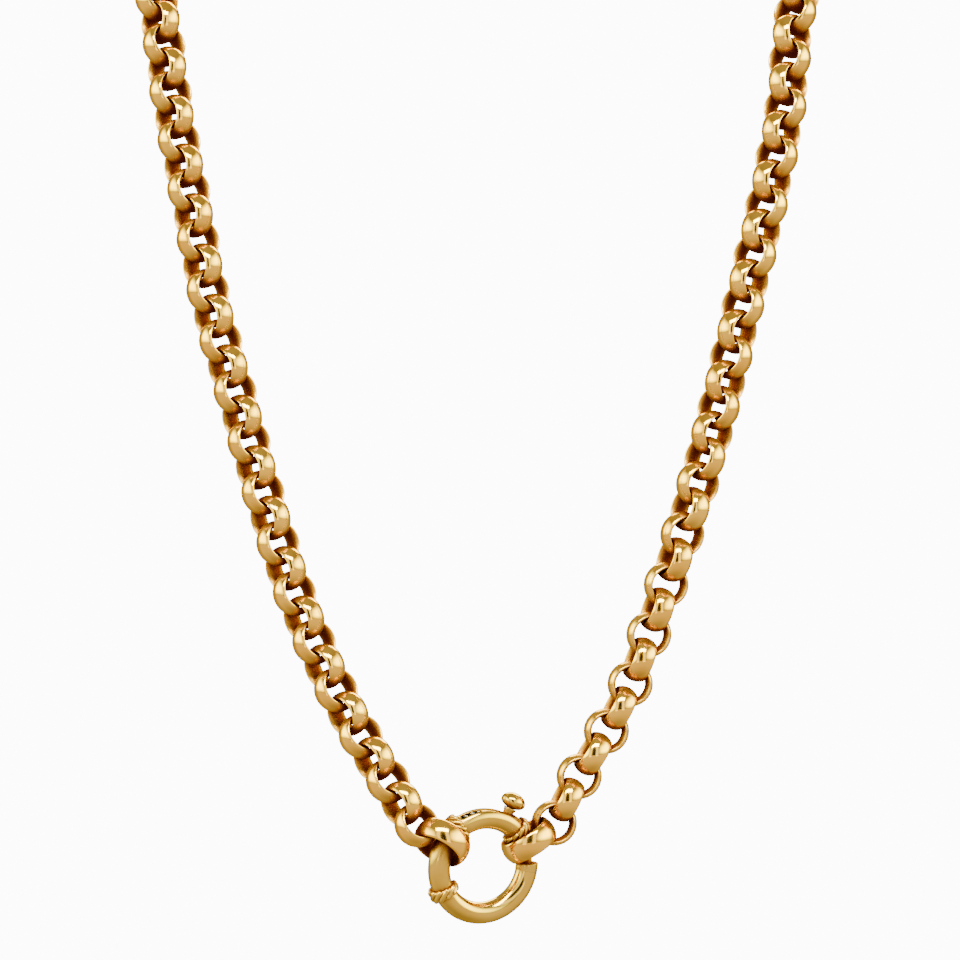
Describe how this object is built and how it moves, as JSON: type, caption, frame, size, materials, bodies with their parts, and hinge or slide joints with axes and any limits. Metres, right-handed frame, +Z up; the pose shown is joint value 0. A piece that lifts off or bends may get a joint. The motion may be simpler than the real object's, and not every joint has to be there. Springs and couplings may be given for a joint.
{
  "type": "rolo chain necklace with bolt ring clasp",
  "caption": "Heavy rolo necklace: a whole loop of round links in broad domed wire, its two end links held by a large sprung bolt ring clasp with rope collars, worn at the front.",
  "frame": {"origin": "the point at the nape where the top of the loop bears on the back of the neck, mount nape", "axes": "+Z up, -Y towards the wearer's front, +X to the right of someone who faces the wearer"},
  "size_m": [0.1061, 0.116, 0.1711],
  "materials": {
    "chain_gold": "polished yellow gold with fine wear",
    "clasp_gold": "polished yellow gold with fine wear",
    "spring_steel": "drawn wire"
  },
  "bodies": {
    "necklace": {"closed_links": "chain_gold", "joining_links": "chain_gold", "end_link_left": "chain_gold", "end_link_right": "chain_gold", "clasp_body": "clasp_gold", "clasp_spring": "spring_steel"},
    "trigger": {"clasp_trigger": "clasp_gold"}
  },
  "joints": [
    {"name": "trigger_slide", "type": "hinge", "parent": "necklace", "child": "trigger", "pos_m": [0, -0.104, -0.161], "axis": [0.4174, -0.8951, -0.1564], "range_deg": [0, 40], "stiffness_Nm_per_rad": 0.02, "springref_deg": -20.05, "deforming": ["clasp_spring"]}
  ]
}
